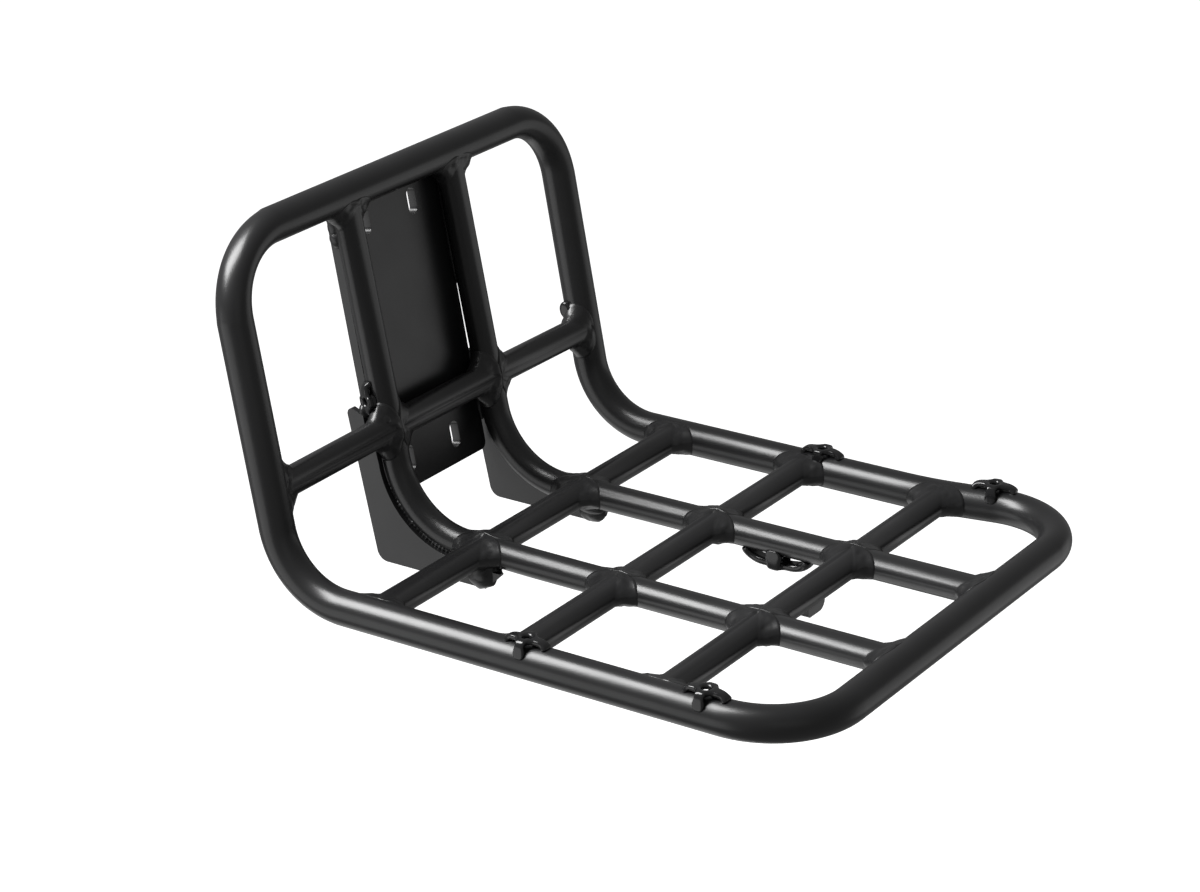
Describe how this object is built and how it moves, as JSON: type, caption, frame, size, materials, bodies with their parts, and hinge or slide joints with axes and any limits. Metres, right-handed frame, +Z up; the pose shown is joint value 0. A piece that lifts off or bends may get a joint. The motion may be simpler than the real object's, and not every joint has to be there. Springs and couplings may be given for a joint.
{
  "type": "rigid luggage carrier",
  "caption": "Welded black tube carrier: a flat luggage deck with a raised, slightly leaning back frame, a slotted mounting plate and small four-legged strap anchors.",
  "frame": {"origin": "on the rear face of the mounting plate, in the middle of its width and 113 mm up the leaning frame from the line where the deck's and the back frame's tube centrelines meet", "axes": "+X the way the deck reaches, away from what holds the carrier; +Y across the deck, towards the rail that flares; +Z up, square to the deck"},
  "size_m": [0.4211, 0.365, 0.2442],
  "materials": {
    "coat": "satin black powder coat",
    "anchor_coat": "glossier black coat"
  },
  "bodies": {
    "root": {"deck_front_cross_tube_centre": "coat", "deck_front_cross_tube_left": "coat", "deck_front_cross_tube_right": "coat", "deck_middle_cross_tube_centre": "coat", "deck_middle_cross_tube_left": "coat", "deck_middle_cross_tube_right": "coat", "deck_rear_cross_tube_centre": "coat", "deck_rear_cross_tube_left": "coat", "deck_rear_cross_tube_right": "coat", "far_rail_front_anchor": "anchor_coat", "far_rail_rear_anchor": "anchor_coat", "left_gusset": "coat", "left_inner_tube": "coat", "left_upright_anchor": "anchor_coat", "mounting_plate": "coat", "near_rail_front_anchor": "anchor_coat", "near_rail_rear_anchor": "anchor_coat", "perimeter_tube": "coat", "right_gusset": "coat", "right_inner_tube": "coat", "right_upright_lug": "anchor_coat", "under_deck_anchor": "anchor_coat", "under_deck_lug": "coat", "upright_cross_tube_centre": "coat", "upright_cross_tube_left": "coat", "upright_cross_tube_right": "coat"}
  },
  "joints": []
}
